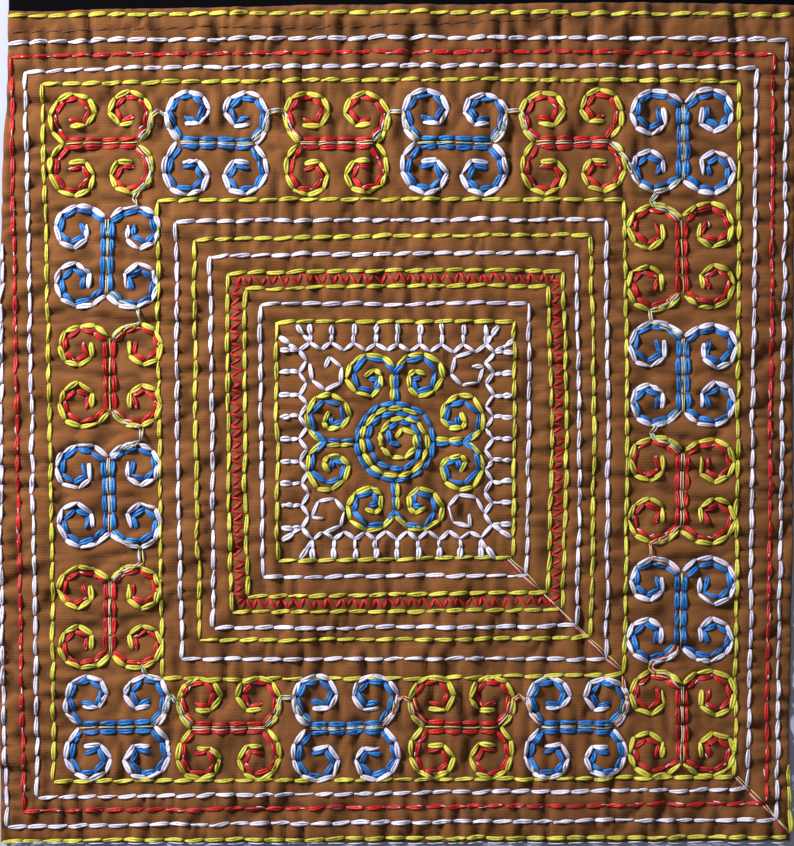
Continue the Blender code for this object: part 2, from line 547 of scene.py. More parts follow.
@dataclass
class SquareBorders:
    """The square rows of running stitch, from the panel's edge to its middle."""

    plan: StitchPlan
    pitch: float = 20.0
    cover: float = 0.975
    slant: float = 0.7
    zigzag_pitch: float = 6.0
    zigzag_reach: float = 5.6
    zigzag_skew: float = 2.2
    wrap_end: float = 236.0

    def sew(self) -> None:
        """Sews every square row, then the zigzag between the two yellow rows inside."""
        for row in SQUARE_ROWS:
            for side, line in row.sides().items():
                wraps = side == "left" and row is SQUARE_ROWS[0]
                self._side(row.thread, side, line[line[:, 1] > self.wrap_end] if wraps else line)
        self._zigzag(SQUARE_ROWS[8], SQUARE_ROWS[9])

    def _side(self, thread: Thread, side: str, line: Array) -> None:
        """One side, each stitch leaning a little across it."""
        length = np.linalg.norm(np.diff(line, axis=0), axis=1).sum()
        holes = holes_along(line, round(length / self.pitch))
        slant = self.slant if side in ("top", "bottom") else -self.slant * 0.6
        kind = SLIM if thread is Thread.RED else STOUT
        self.plan.sew(f"{thread.value}_rows", thread, kind, holes, self.cover, slant)
        if thread is Thread.RED:
            self._stray_filaments(holes)

    def _stray_filaments(self, holes: Array) -> None:
        """The pale filaments that show at the ends of most red stitches."""
        rng = self.plan.rng
        ahead = np.diff(holes, axis=0)
        shown = rng.random(len(ahead)) < 0.92
        across = unit(np.stack([-ahead[:, 1], ahead[:, 0]], axis=1)) * rng.normal(0.0, 1.1, (len(ahead), 1))
        begin = rng.uniform(0.30, 0.62, (len(ahead), 1))
        starts = holes[:-1] + ahead * begin + across
        ends = holes[:-1] + ahead * (begin + rng.uniform(0.34, 0.55, (len(ahead), 1))) + across * 0.3
        self.plan.add("pale_filaments", Thread.PALE, HAIRLINE, starts[shown], ends[shown])

    def _zigzag(self, outer: SquareRow, inner: SquareRow) -> None:
        """Red zigzag midway between two rows: holes on one side and the other in turn."""
        for side, line in outer.sides().items():
            middle = (line + inner.sides()[side]) / 2
            length = np.linalg.norm(np.diff(middle, axis=0), axis=1).sum()
            holes = holes_along(middle, round(length / self.zigzag_pitch))
            ahead = unit(np.gradient(holes, axis=0))
            across = np.stack([-ahead[:, 1], ahead[:, 0]], axis=1)
            swing = np.where(np.arange(len(holes)) % 2 == 0, 1.0, -1.0)[:, None]
            holes = holes + across * swing * self.zigzag_reach + ahead * swing * self.zigzag_skew / 2
            self.plan.sew("red_zigzag", Thread.RED, ZIGZAG, holes, 1.0, 0.0, 0.8)


@dataclass
class EdgeRows:
    """The yellow row on the turned edges, the white loops under it and the brown seam row."""

    plan: StitchPlan
    pitch: float = 20.0
    seam_pitch: float = 17.0
    seam_line: tuple[tuple[float, float], ...] = (
        (10, 33),
        (100, 31),
        (200, 27.5),
        (300, 28),
        (400, 25.5),
        (530, 20),
        (600, 18),
        (790, 19),
    )

    def sew(self) -> None:
        """Sews the two long rows, the row over the right edge, the seam and the white loops."""
        top = bowed((8, 17), (791, 16), (0.0, -3.5))
        bottom = bowed((2, 841), (788, 837), (0.0, -0.6))
        self._row(top, Thread.YELLOW, 0.9)
        self._row(bottom, Thread.YELLOW, 0.5)
        right = np.array([(789.0, 764), (789.6, 800), (790.6, 832)])
        self._row(right, Thread.YELLOW, 0.2)
        seam = np.array(self.seam_line, float)
        holes = holes_along(seam, round(np.ptp(seam[:, 0]) / self.seam_pitch))
        self.plan.sew("seam_row", Thread.BROWN, SEAM, holes, 0.86, 0.5, 0.3)
        loops = bowed((6, 843.2), (786, 842.4), (0.0, 0.3))
        holes = holes_along(loops, round(780 / self.pitch))
        self.plan.sew("edge_loops", Thread.WHITE, HAIRLINE, holes, 0.8, 0.2, 0.3)

    def _row(self, line: Array, thread: Thread, slant: float) -> None:
        """One row along an edge."""
        length = np.linalg.norm(np.diff(line, axis=0), axis=1).sum()
        holes = holes_along(line, round(length / self.pitch))
        self.plan.sew(f"{thread.value}_rows", thread, STOUT, holes, 0.97, slant, 0.35)


@dataclass(frozen=True)
class MotifPlace:
    """Where one band motif sits on the chart and which way its bar runs."""

    x: float
    y: float
    turn: Turn
    warm: bool


LIE, STAND = Turn.LYING, Turn.STANDING
MOTIF_PLACES = (
    MotifPlace(102, 143, LIE, True),
    MotifPlace(217, 143, LIE, False),
    MotifPlace(337, 143, LIE, True),
    MotifPlace(455, 143, LIE, False),
    MotifPlace(573, 142, LIE, True),
    MotifPlace(683, 142, STAND, False),
    MotifPlace(682, 257, STAND, True),
    MotifPlace(683, 375, STAND, False),
    MotifPlace(682, 490, STAND, True),
    MotifPlace(681, 610, STAND, False),
    MotifPlace(682, 724, STAND, True),
    MotifPlace(577, 727, LIE, False),
    MotifPlace(462, 727, LIE, True),
    MotifPlace(346, 728, LIE, False),
    MotifPlace(229, 728, LIE, True),
    MotifPlace(117, 727, LIE, False),
    MotifPlace(110, 617, STAND, True),
    MotifPlace(109, 495, STAND, False),
    MotifPlace(110, 375, STAND, True),
    MotifPlace(107, 256, STAND, False),
)


@dataclass
class ScrollBand:
    """The ring of double-scroll motifs, warm and cool in turn, with the threads that travel between.

    A motif is a double bar with a scroll at each of its four ends. Its inner line is a bar half and two
    scrolls, and its outer line runs from the waist around each scroll.
    """

    plan: StitchPlan
    bar_half_length: float = 34.5
    bar_half_gap: float = 4.3
    bar_stitches: int = 4
    scroll_middle: tuple[float, float] = (28.5, 31.5)
    inner_scroll: tuple[tuple[float, float], ...] = (
        (-78, 26.5),
        (-44, 21.5),
        (0, 18.3),
        (65, 15.8),
        (124, 15.8),
        (176, 14.8),
        (248, 11.2),
        (314, 7.5),
    )
    outer_scroll: tuple[tuple[float, float], ...] = (
        (-70, 32.0),
        (-39, 27.5),
        (0, 23.0),
        (50, 20.8),
        (94, 20.2),
        (142, 21.2),
        (182, 20.6),
        (240, 16.8),
        (290, 12.8),
    )
    inner_stitches: int = 7
    outer_stitches: int = 8

    def sew(self) -> None:
        """Sews every motif in the ring, then the links between neighbours."""
        for index, place in enumerate(MOTIF_PLACES):
            self._motif(place, index)
        self._carry()

    def _placed(self, points: Array, place: MotifPlace, tilt: float, size: float) -> Array:
        """Points of a lying motif about (0, 0), turned, sized and moved to their place."""
        angle = math.radians(tilt + 90.0 * place.turn.value)
        turn = np.array([[math.cos(angle), math.sin(angle)], [-math.sin(angle), math.cos(angle)]])
        return points @ turn * size + np.array([place.x, place.y])

    def _motif(self, place: MotifPlace, index: int) -> None:
        """One motif: four scrolls, two bar lines and the bundle between them."""
        rng = self.plan.rng
        tilt, size = rng.normal(0.0, 0.9), rng.normal(1.0, 0.012)
        inside, outside = (Thread.RED, Thread.YELLOW) if place.warm else (Thread.BLUE, Thread.WHITE)
        for right in (-1.0, 1.0):
            for down in (-1.0, 1.0):
                mirror = np.array([right, down])
                middle = np.array(self.scroll_middle) + rng.normal(0.0, 0.6, 2)
                grown = rng.normal(1.0, 0.025)
                inner = (spiral(self.inner_scroll) * grown + middle) * mirror
                inner[0] = np.array([self.bar_half_length, self.bar_half_gap]) * mirror
                outer = (spiral(self.outer_scroll) * grown + middle) * mirror
                for thread, line, count in (
                    (inside, inner, self.inner_stitches),
                    (outside, outer, self.outer_stitches),
                ):
                    holes = self._placed(holes_along(line, count), place, tilt, size)
                    kind = SNUG if thread is Thread.RED else SCROLL
                    self.plan.sew(f"{thread.value}_scrolls", thread, kind, holes, 1.0, 0.35, 0.6)
                    if thread is Thread.RED:
                        self._filaments(holes)
        for down in (-1.0, 1.0):
            ends = [(-self.bar_half_length, down * self.bar_half_gap), (self.bar_half_length, down * self.bar_half_gap)]
            holes = self._placed(holes_along(np.array(ends), self.bar_stitches), place, tilt, size)
            kind = SNUG if place.warm else SCROLL
            self.plan.sew(f"{inside.value}_scrolls", inside, kind, holes, 0.97, 0.3, 0.3)
        self._bundle(place, tilt, size, index)

    def _filaments(self, holes: Array) -> None:
        """Pale filaments at some ends of red scroll stitches."""
        rng = self.plan.rng
        ahead = np.diff(holes, axis=0)
        shown = rng.random(len(ahead)) < 0.55
        across = unit(np.stack([-ahead[:, 1], ahead[:, 0]], axis=1)) * rng.normal(0.0, 1.2, (len(ahead), 1))
        starts = holes[:-1] + ahead * 0.62 + across
        self.plan.add("pale_filaments", Thread.PALE, HAIRLINE, starts[shown], (holes[1:] + across * 0.4)[shown])

    def _bundle(self, place: MotifPlace, tilt: float, size: float, index: int) -> None:
        """The fine threads carried along the bar, one, two or three side by side."""
        threads = [(Thread.CREAM, 0.0)]
        if index % 3 != 0:
            threads = [(Thread.CREAM, -1.2), (Thread.PALE, 0.9)]
        if not place.warm:
            threads.append((Thread.TEAL, 0.0))
        for thread, offset in threads:
            ends = np.array([(-self.bar_half_length - 3, offset), (self.bar_half_length + 3, offset)])
            holes = self._placed(holes_along(ends, self.bar_stitches), place, tilt, size)
            self.plan.sew("carried_threads_" + thread.value, thread, HAIRLINE, holes, 0.97, 0.2, 0.35)

    def _around(self, place: MotifPlace, scroll: tuple[int, int], first: float, last: float) -> Array:
        """The way of carried threads around one scroll between two angles, midway between its lines."""
        angles = np.linspace(first, last, 14)
        radius = np.interp(angles, (-75.0, -40.0, 0.0, 50.0, 90.0), (29.5, 24.6, 20.8, 18.4, 18.0))
        turned = np.radians(angles)
        local = np.stack([radius * np.cos(turned), radius * np.sin(turned)], axis=1) + np.array(self.scroll_middle)
        return self._placed(local * np.array(scroll), place, 0.0, 1.0)

    def _carry(self) -> None:
        """The fine threads that run around one scroll of a motif and over to the next motif's."""
        for index, (first, second) in enumerate(zip(MOTIF_PLACES, MOTIF_PLACES[1:] + MOTIF_PLACES[:1])):
            ahead = 1 if index < 11 else -1
            side = 1 if 5 <= index < 10 else -1
            if first.turn is second.turn:
                leaving = self._around(first, (ahead, side), -75.0, 0.0)
                arriving = self._around(second, (-ahead, side), 0.0, -75.0)
            elif index == 4:
                leaving = self._placed(np.array([(38.5, 0.0), (46.0, 9.0)]), first, 0.0, 1.0)
                arriving = self._around(second, (1, 1), 90.0, 0.0)
            elif index == 10:
                leaving = np.array([(623.5, 676.0), (625.5, 700.0)])
                arriving = self._around(second, (1, -1), 10.0, -75.0)
            elif index == 15:
                leaving = self._around(first, (1, -1), 60.0, 90.0)
                arriving = self._around(second, (1, -1), 10.0, 0.0)
            else:
                leaving = self._around(first, (-1, -1), -5.0, 0.0)
                arriving = self._around(second, (1, 1), 90.0, -75.0)
            self._carried(np.concatenate([leaving, arriving]), index)

    def _carried(self, way: Array, index: int) -> None:
        """Three fine threads side by side along a way."""
        palette = [(Thread.CREAM, 1.3), (Thread.TEAL, 0.0), (Thread.PALE, -1.3)]
        if 8 <= index < 13:
            palette = [(Thread.CREAM, 1.3), (Thread.RED, 0.0), (Thread.PALE, -1.3)]
        ahead = unit(np.gradient(way, axis=0))
        across = np.stack([-ahead[:, 1], ahead[:, 0]], axis=1)
        length = np.linalg.norm(np.diff(way, axis=0), axis=1).sum()
        for thread, offset in palette:
            holes = holes_along(way + across * offset, max(2, round(length / 13.0)))
            self.plan.sew("carried_threads_" + thread.value, thread, CARRIED, holes, 1.0, 0.3, 0.5)


@dataclass
class CentreFlower:
    """The double spiral with four stems, each ending in two scrolls."""

    plan: StitchPlan
    middle: tuple[float, float] = (395.0, 442.0)
    ring_radius: float = 39.2
    ring_stitches: int = 16
    stem_gap: float = 2.9
    stem_root: float = 41.0
    fork: float = 67.5
    scroll_offset: tuple[float, float] = (27.5, -1.5)
    blue_spiral: tuple[tuple[float, float], ...] = (
        (-40, 33.0),
        (-75, 29.7),
        (-130, 28.6),
        (-180, 27.2),
        (-225, 26.6),
        (-270, 27.4),
        (-320, 27.6),
        (-370, 25.6),
        (-420, 21.0),
        (-470, 17.0),
        (-530, 12.4),
        (-590, 9.5),
        (-640, 6.0),
    )
    yellow_spiral: tuple[tuple[float, float], ...] = (
        (-52, 35.0),
        (-90, 34.0),
        (-135, 34.0),
        (-180, 33.4),
        (-225, 33.6),
        (-270, 34.2),
        (-315, 34.2),
        (-360, 33.4),
        (-400, 30.5),
        (-440, 24.0),
        (-490, 20.0),
        (-540, 17.2),
        (-600, 18.6),
        (-650, 19.5),
        (-710, 20.0),
        (-760, 14.0),
        (-820, 9.0),
        (-890, 5.0),
    )
    blue_scroll: tuple[tuple[float, float], ...] = (
        (-28.0, 1.8),
        (-16.9, 14.9),
        (1.2, 17.9),
        (13.3, 3.8),
        (9.3, -11.3),
        (-5.8, -15.3),
        (-9.9, -3.2),
        (-1.8, -2.2),
    )
    yellow_scroll: tuple[tuple[float, float], ...] = (
        (-28.0, 7.9),
        (-15.9, 21.0),
        (1.2, 23.0),
        (18.3, 12.9),
        (21.4, -2.2),
        (12.3, -16.3),
        (-3.8, -21.4),
        (-13.9, -12.3),
        (-13.9, 0.8),
        (-7.9, 5.8),
        (3.2, 0.2),
    )

    def sew(self) -> None:
        """Sews the outer ring, the two spirals, the stems and the eight scrolls."""
        middle = np.array(self.middle)
        ring = spiral(((0, self.ring_radius), (360, self.ring_radius))) + middle
        self._line(Thread.BLUE, holes_along(ring, self.ring_stitches))
        drift = np.array([4.5, -3.0])
        for thread, stations, pitch in (
            (Thread.BLUE, self.blue_spiral, 14.0),
            (Thread.YELLOW, self.yellow_spiral, 14.5),
        ):
            line = spiral(stations)
            radius = np.linalg.norm(line, axis=1, keepdims=True)
            line = line + middle + drift * eased((28.0 - radius) / 14.0)
            length = np.linalg.norm(np.diff(line, axis=0), axis=1).sum()
            self._line(thread, holes_along(line, round(length / pitch)))
        for quarter in range(4):
            self._stem(quarter * math.pi / 2, middle)

    def _stem(self, heading: float, middle: Array) -> None:
        """One stem and its two scrolls, for a stem that heads up the chart, then turned by heading."""
        turn = np.array([[math.cos(heading), math.sin(heading)], [-math.sin(heading), math.cos(heading)]])
        for thread, aside in ((Thread.BLUE, self.stem_gap / 2), (Thread.YELLOW, -self.stem_gap)):
            ends = np.array([(aside, -self.stem_root), (aside, -self.fork)])
            self._line(thread, holes_along(ends, 2) @ turn + middle)
        for side in (-1.0, 1.0):
            for thread, chart in ((Thread.BLUE, self.blue_scroll), (Thread.YELLOW, self.yellow_scroll)):
                grown = np.array(chart) * (0.96 if thread is Thread.YELLOW else 1.03)
                holes = grown + np.array(self.scroll_offset) + np.array([0.0, self.fork])
                holes = holes * np.array([side, -1.0])
                self._line(thread, holes @ turn + middle)

    def _line(self, thread: Thread, holes: Array) -> None:
        """One line of flower stitches."""
        self.plan.sew(f"{thread.value}_flower", thread, SCROLL, holes, 1.0, 0.3, 0.5)


@dataclass(frozen=True)
class FenceSide:
    """One side of the lattice: its first and last post feet, and which way is outwards."""

    first: tuple[float, float]
    last: tuple[float, float]
    outwards: tuple[float, float]


@dataclass
class LatticeFence:
    """The white posts around the flower, the chevron line that joins their feet and the corner hooks."""

    plan: StitchPlan
    posts: int = 7
    post_length: float = 19.5
    chevron: float = 8.0
    corner_spread: float = 13.0
    hook_radius: float = 16.6
    sides: tuple[FenceSide, ...] = (
        FenceSide((310, 342.5), (486, 344.5), (0, -1)),
        FenceSide((494.5, 352), (492.5, 524.5), (1, 0)),
        FenceSide((481, 539), (313, 540), (0, 1)),
        FenceSide((301.5, 528), (298, 350), (-1, 0)),
    )
    hooks: tuple[tuple[float, float, float], ...] = (
        (327, 374, 212),
        (467, 370, -73),
        (465, 510, 8),
        (329, 514, 106),
    )

    def sew(self) -> None:
        """Sews the four sides, the corner stitches between them and the four hooks."""
        for index, side in enumerate(self.sides):
            self._side(side)
            following = self.sides[(index + 1) % len(self.sides)]
            self._line(np.array([side.last, following.first]), STOUT)
        for x, y, start in self.hooks:
            self._hook(np.array([x, y]), start)

    def _side(self, side: FenceSide) -> None:
        """Posts with a double head each, chevrons between their feet, and a forked post at each end."""
        first, last, out = (np.array(point, float) for point in (side.first, side.last, side.outwards))
        ahead = unit(last - first)
        feet = first + (last - first) * np.linspace(0.0, 1.0, self.posts + 2)[:, None]
        for index, foot in enumerate(feet):
            head = foot + out * (self.post_length + self.plan.rng.normal(0.0, 0.5))
            self._post(foot, head)
            if index in (0, len(feet) - 1):
                towards = -ahead if index == 0 else ahead
                self._post(foot, head + towards * self.corner_spread)
        valleys = (feet[:-1] + feet[1:]) / 2 - out * self.chevron
        line = np.empty((2 * len(feet) - 1, 2))
        line[0::2], line[1::2] = feet, valleys
        self._line(line, STOUT)

    def _post(self, foot: Array, head: Array) -> None:
        """One post: a plain stitch from the foot and a looped one at the head."""
        middle = foot + (head - foot) * 0.48
        self._line(np.array([foot, middle]), STOUT)
        self._line(np.array([middle - (head - foot) * 0.06, head]), LOOPED)

    def _hook(self, middle: Array, start: float) -> None:
        """A six-sided hook that ends inside itself."""
        angles = np.radians(start - np.array([0, 57, 117, 176, 236, 296, 330]))
        radii = np.array([1.15, 1.0, 1.0, 1.0, 1.0, 1.05, 0.40]) * self.hook_radius
        holes = np.stack([radii * np.cos(angles), radii * np.sin(angles)], axis=1) + middle
        self._line(holes, STOUT)

    def _line(self, holes: Array, kind: StitchKind) -> None:
        """One line of fence stitches."""
        self.plan.sew("white_fence", Thread.WHITE, kind, holes, 0.98, 0.2, 0.5)


@dataclass
class CornerTails:
    """The loose threads that run out from the lower right corners of the squares."""

    plan: StitchPlan

    def sew(self) -> None:
        """Lays three fine threads along each of the two diagonals."""
        for start, end, count in (((507, 558), (621, 672), 7), ((736, 777), (790, 834), 4)):
            ends = np.array([start, end], float)
            for thread, aside in ((Thread.CREAM, 1.3), (Thread.PALE, -0.2), (Thread.RED, -1.5)):
                holes = holes_along(ends + np.array([aside, -aside]), count)
                self.plan.sew("tail_" + thread.value, thread, HAIRLINE, holes, 0.97, 0.3, 0.8)


# Cloth


@dataclass(frozen=True)
class Crease:
    """A listed crease: its middle and direction on the chart, its size and its depth in metres."""

    x: float
    y: float
    heading: float
    half_length: float
    half_width: float
    height: float


CREASES = (
    Crease(300, 640, 40, 46, 11, 0.00045),
    Crease(345, 652, 48, 40, 10, -0.00030),
    Crease(420, 650, 44, 44, 11, 0.00045),
    Crease(470, 640, 38, 40, 10, -0.00028),
    Crease(530, 640, 42, 44, 11, 0.00040),
    Crease(585, 600, 30, 40, 11, 0.00035),
    Crease(600, 520, 18, 34, 9, 0.00030),
    Crease(600, 440, 10, 34, 9, -0.00028),
    Crease(760, 560, 22, 40, 11, 0.00040),
    Crease(755, 640, 30, 40, 11, 0.00045),
    Crease(750, 705, 34, 44, 11, -0.00032),
    Crease(720, 800, 60, 40, 11, 0.00045),
    Crease(640, 812, 75, 36, 10, 0.00040),
    Crease(540, 812, 80, 36, 10, 0.00040),
    Crease(430, 815, 84, 36, 10, -0.00030),
    Crease(330, 815, 96, 36, 10, 0.00042),
    Crease(215, 812, 88, 36, 10, 0.00042),
    Crease(120, 812, 80, 36, 10, -0.00030),
    Crease(20, 700, 8, 32, 10, 0.00042),
    Crease(18, 560, -8, 32, 10, 0.00042),
    Crease(20, 430, 6, 32, 10, -0.00030),
    Crease(18, 300, -6, 32, 10, 0.00040),
    Crease(18, 170, 5, 32, 9, 0.00035),
    Crease(200, 420, -8, 34, 10, 0.00036),
    Crease(195, 540, 12, 34, 10, 0.00036),
    Crease(300, 238, 88, 30, 9, 0.00030),
    Crease(450, 235, 96, 30, 9, 0.00032),
)


@dataclass
class PanelGround:
    """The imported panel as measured: its top, its underside and its four edges."""

    cell: float = 0.0025
    smoothing: float = 0.7

    def __post_init__(self) -> None:
        """Reads heights by rays straight down and up, and edges by rays across."""
        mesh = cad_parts["panel"].data
        points = np.empty(len(mesh.vertices) * 3)
        mesh.vertices.foreach_get("co", points)
        mesh.calc_loop_triangles()
        corners = np.empty(len(mesh.loop_triangles) * 3, int)
        mesh.loop_triangles.foreach_get("vertices", corners)
        self.tree = BVHTree.FromPolygons(points.reshape(-1, 3).tolist(), corners.reshape(-1, 3).tolist())
        self.low, self.high = (np.array(corner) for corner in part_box("panel"))
        self.middle = (self.low + self.high) / 2
        self.along_y = np.linspace(self.low[1] + MM, self.high[1] - 4 * MM, 48)
        self.along_x = np.linspace(self.low[0] + 4 * MM, self.high[0] - 2 * MM, 48)
        self.left = np.array([self._edge((self.low[0] - 1, y), (1, 0), 0) for y in self.along_y])
        self.right = np.array([self._edge((self.high[0] + 1, y), (-1, 0), 0) for y in self.along_y])
        self.bottom = np.array([self._edge((x, self.low[1] - 1), (0, 1), 1) for x in self.along_x])
        self.top = np.array([self._edge((x, self.high[1] + 1), (0, -1), 1) for x in self.along_x])
        self.upper = self._heights(1.0)
        self.under = self._heights(-1.0)

    def _edge(self, start: tuple[float, float], ahead: tuple[int, int], axis: int) -> float:
        """Where level rays first meet the sheet: the furthest out of a few heights."""
        found = []
        for height in np.linspace(0.3 * MM, self.high[2] - 0.2 * MM, 9):
            hit = self.tree.ray_cast(Vector((*start, height)), Vector((*ahead, 0.0)))[0]
            if hit is not None:
                found.append(hit[axis])
        return min(found) if sum(ahead) > 0 else max(found)

    def _heights(self, side: float) -> HeightMap:
        """The sheet's height seen from above (side 1) or below (side -1), as a map."""
        xs = np.arange(self.low[0], self.high[0] + self.cell, self.cell)
        ys = np.arange(self.low[1], self.high[1] + self.cell, self.cell)
        heights = np.empty((len(ys), len(xs)))
        for row, y in enumerate(ys):
            inner_y = float(np.clip(y, self.low[1] + 2 * MM, self.high[1] - 3 * MM))
            for column, x in enumerate(xs):
                inner_x = float(np.clip(x, self.low[0] + 4 * MM, self.high[0] - 3 * MM))
                start = Vector((inner_x, inner_y, side))
                heights[row, column] = self.tree.ray_cast(start, Vector((0.0, 0.0, -side)))[0].z
        return HeightMap((float(xs[0]), float(ys[0])), self.cell, heights)

    def outline(self, across: Array, up: Array) -> tuple[Array, Array]:
        """Points between the measured edges, from shares of the width and height."""
        rough_x = self.low[0] + (self.high[0] - self.low[0]) * across
        bottom = np.interp(rough_x, self.along_x, self.bottom)
        top = np.interp(rough_x, self.along_x, self.top)
        y = bottom + (top - bottom) * up
        left = np.interp(y, self.along_y, self.left)
        right = np.interp(y, self.along_y, self.right)
        return left + (right - left) * across, y

    def to_metres(self, chart: Array) -> Array:
        """Chart points as x, y in metres."""
        x = self.middle[0] + (chart[..., 0] - CHART_MIDDLE[0]) * CHART_UNIT
        y = self.middle[1] - (chart[..., 1] - CHART_MIDDLE[1]) * CHART_UNIT
        return np.stack([x, y], axis=-1)


@dataclass
class PanelCloth:
    """The brown panel: the measured sheet with puckers, creases and a trough under every stitch."""

    ground: PanelGround
    plan: StitchPlan
    map_cell: float = 0.0004
    mesh_cell: float = 0.0008
    trough: float = 0.00042
    pit: float = 0.00032
    pucker: float = 0.00130
    shade_spread: float = 3.2
    shade_depth: float = 0.00022
    crease_gain: float = 1.6
    rim: float = 0.0006
    relief: HeightMap = field(init=False)
    painted_shades: HeightMap = field(init=False)

    def __post_init__(self) -> None:
        """Works out the relief, and the painted shade that the material reads, on an even map."""
        low, high = self.ground.low, self.ground.high
        xs = np.arange(low[0] - MM, high[0] + MM, self.map_cell)
        ys = np.arange(low[1] - MM, high[1] + MM, self.map_cell)
        x, y = np.meshgrid(xs, ys)
        troughs, pits = self._stitch_dips(xs, ys)
        relief = self._puckers(x, y) + self._creases(x, y)
        relief = relief * (1.0 - 0.3 * troughs) - self.trough * troughs - self.pit * pits
        relief = 0.85 * MM * np.tanh(relief / (0.85 * MM)) * np.where(relief > 0, 1.35, 1.0)
        # painted shade: darker where the relief lies below its own blur, and along stitch troughs and at needle holes
        hollow_shade = np.clip((blurred(relief, self.shade_spread) - relief) / self.shade_depth, 0.0, 1.0)
        corner = (float(xs[0]), float(ys[0]))
        self.relief = HeightMap(corner, self.map_cell, relief)
        self.painted_shades = HeightMap(corner, self.map_cell, np.clip(troughs * 0.4 + pits * 0.5 + hollow_shade * 0.9, 0.0, 1.2))

    def _stitch_dips(self, xs: Array, ys: Array) -> tuple[Array, Array]:
        """How strongly each point is pulled down along stitches, and at needle holes, from 0 to 1."""
        lines, holes = np.zeros((len(ys), len(xs))), np.zeros((len(ys), len(xs)))
        share = np.linspace(0.0, 1.0, 14)[:, None, None]
        for run in self.plan.runs:
            if run.kind.dent <= 0.0:
                continue
            starts, ends = self.ground.to_metres(run.starts), self.ground.to_metres(run.ends)
            self._mark(lines, (starts + (ends - starts) * share).reshape(-1, 2), xs, ys, run.kind.dent)
            self._mark(holes, np.concatenate([starts, ends]), xs, ys, run.kind.dent)
        troughs = 1.0 - np.exp(-blurred(lines, 1.5) * 1.1)
        pits = 1.0 - np.exp(-blurred(holes, 1.1) * 7.0)
        return troughs, pits

    def _mark(self, grid: Array, points: Array, xs: Array, ys: Array, amount: float) -> None:
        """Adds an amount to the cells that hold the points."""
        columns = np.clip(np.rint((points[:, 0] - xs[0]) / self.map_cell), 0, len(xs) - 1).astype(int)
        rows = np.clip(np.rint((points[:, 1] - ys[0]) / self.map_cell), 0, len(ys) - 1).astype(int)
        np.add.at(grid, (rows, columns), amount)

    def _puckers(self, x: Array, y: Array) -> Array:
        """Pillows whose valleys cross the rows: level beside the sides, upright above and below."""
        east, north = x - self.ground.middle[0], y - self.ground.middle[1]
        beside = eased((np.abs(east) - np.abs(north)) / 0.024 + 0.5)
        level = self._pillows(x, y, (0.0095, 0.0037), -6.0, 5) + 0.5 * self._pillows(x, y, (0.006, 0.0023), 8.0, 6)
        upright = self._pillows(x, y, (0.0039, 0.0095), 5.0, 7) + 0.5 * self._pillows(x, y, (0.0024, 0.006), -9.0, 8)
        reach = np.maximum(np.abs(east), np.abs(north))
        inner = 0.75 + 0.25 * eased((reach - 0.030) / 0.02)
        outer = 1.0 + 0.3 * eased((reach - 0.085) / 0.01)
        round_bumps = LatticeNoise(9, 0.0060, 0.0055, 20.0).at(x, y) * 0.35
        ripples = level * beside + upright * (1 - beside)
        return self.pucker * (ripples * inner * outer + round_bumps)

    def _pillows(self, x: Array, y: Array, cell: tuple[float, float], heading: float, seed: int) -> Array:
        """Round-topped swellings parted by narrow valleys, where an even noise passes zero."""
        noise = LatticeNoise(seed, cell[0], cell[1], heading).at(x, y)
        return np.sqrt(noise**2 + 0.012) * 1.6 - 0.55

    def _creases(self, x: Array, y: Array) -> Array:
        """The listed creases, each fading along and across."""
        total = np.zeros_like(x)
        for crease in CREASES:
            middle = self.ground.to_metres(np.array([crease.x, crease.y]))
            turn = math.radians(crease.heading)
            east, north = x - middle[0], y - middle[1]
            along = (east * math.cos(turn) + north * math.sin(turn)) / (crease.half_length * CHART_UNIT)
            across = (north * math.cos(turn) - east * math.sin(turn)) / (crease.half_width * CHART_UNIT)
            total += self.crease_gain * crease.height * np.exp(-(along**4) - across**2)
        return total

    def surface(self, x: Array, y: Array) -> Array:
        """The height of the cloth's face at points in metres."""
        return self.ground.upper.at(x, y) + self.relief.at(x, y)

    def _shares(self, length: float, cell: float) -> Array:
        """Shares along a side with two narrow cells for the turned edge at each end."""
        narrow = np.array([0.0, 0.12, 0.34]) * 2 * self.rim / length
        count = 2 * round((length - 4 * self.rim) / cell / 2)
        broad = np.linspace(2 * self.rim / length, 1 - 2 * self.rim / length, count + 1)
        return np.concatenate([narrow, broad, 1 - narrow[::-1]])

    def build(self) -> bpy.types.Object:
        """One closed sheet: the fine face, a round turned edge and an underside of twice the cell.

        Returns:
            The panel as an object.
        """
        width, depth = self.ground.high[:2] - self.ground.low[:2]
        across, up = self._shares(width, self.mesh_cell), self._shares(depth, self.mesh_cell)
        s, t = np.meshgrid(across, up)
        x, y = self.ground.outline(s, t)
        inside = np.minimum(np.minimum(s, 1 - s) * width, np.minimum(t, 1 - t) * depth)
        roll = np.clip(1 - inside / (2 * self.rim), 0.0, 1.0)
        face = self.surface(x, y) - self.rim * (1 - np.sqrt(np.clip(1 - roll**2, 0.0, 1.0)))
        top = np.stack([x, y, face], axis=-1)
        s2, t2 = np.meshgrid(across[::2], up[::2])
        inset = 0.0035
        x2, y2 = self.ground.outline(inset + s2 * (1 - 2 * inset), inset + t2 * (1 - 2 * inset))
        under = np.stack([x2, y2, self.ground.under.at(x2, y2)], axis=-1)
        points = np.concatenate([top.reshape(-1, 3), under.reshape(-1, 3)])
        faces = grid_faces(top.shape[:2], 0, False) + grid_faces(under.shape[:2], top[..., 0].size, True)
        faces += edge_faces(top.shape[:2], under.shape[:2], top[..., 0].size)
        panel = mesh_object("panel_cloth", points, faces)
        # painted shade for the face, none for the underside
        painted_shades = np.concatenate([self.painted_shades.at(x, y).ravel(), np.zeros(x2.size)])
        point_attribute(panel, "painted_shade", painted_shades)
        return panel


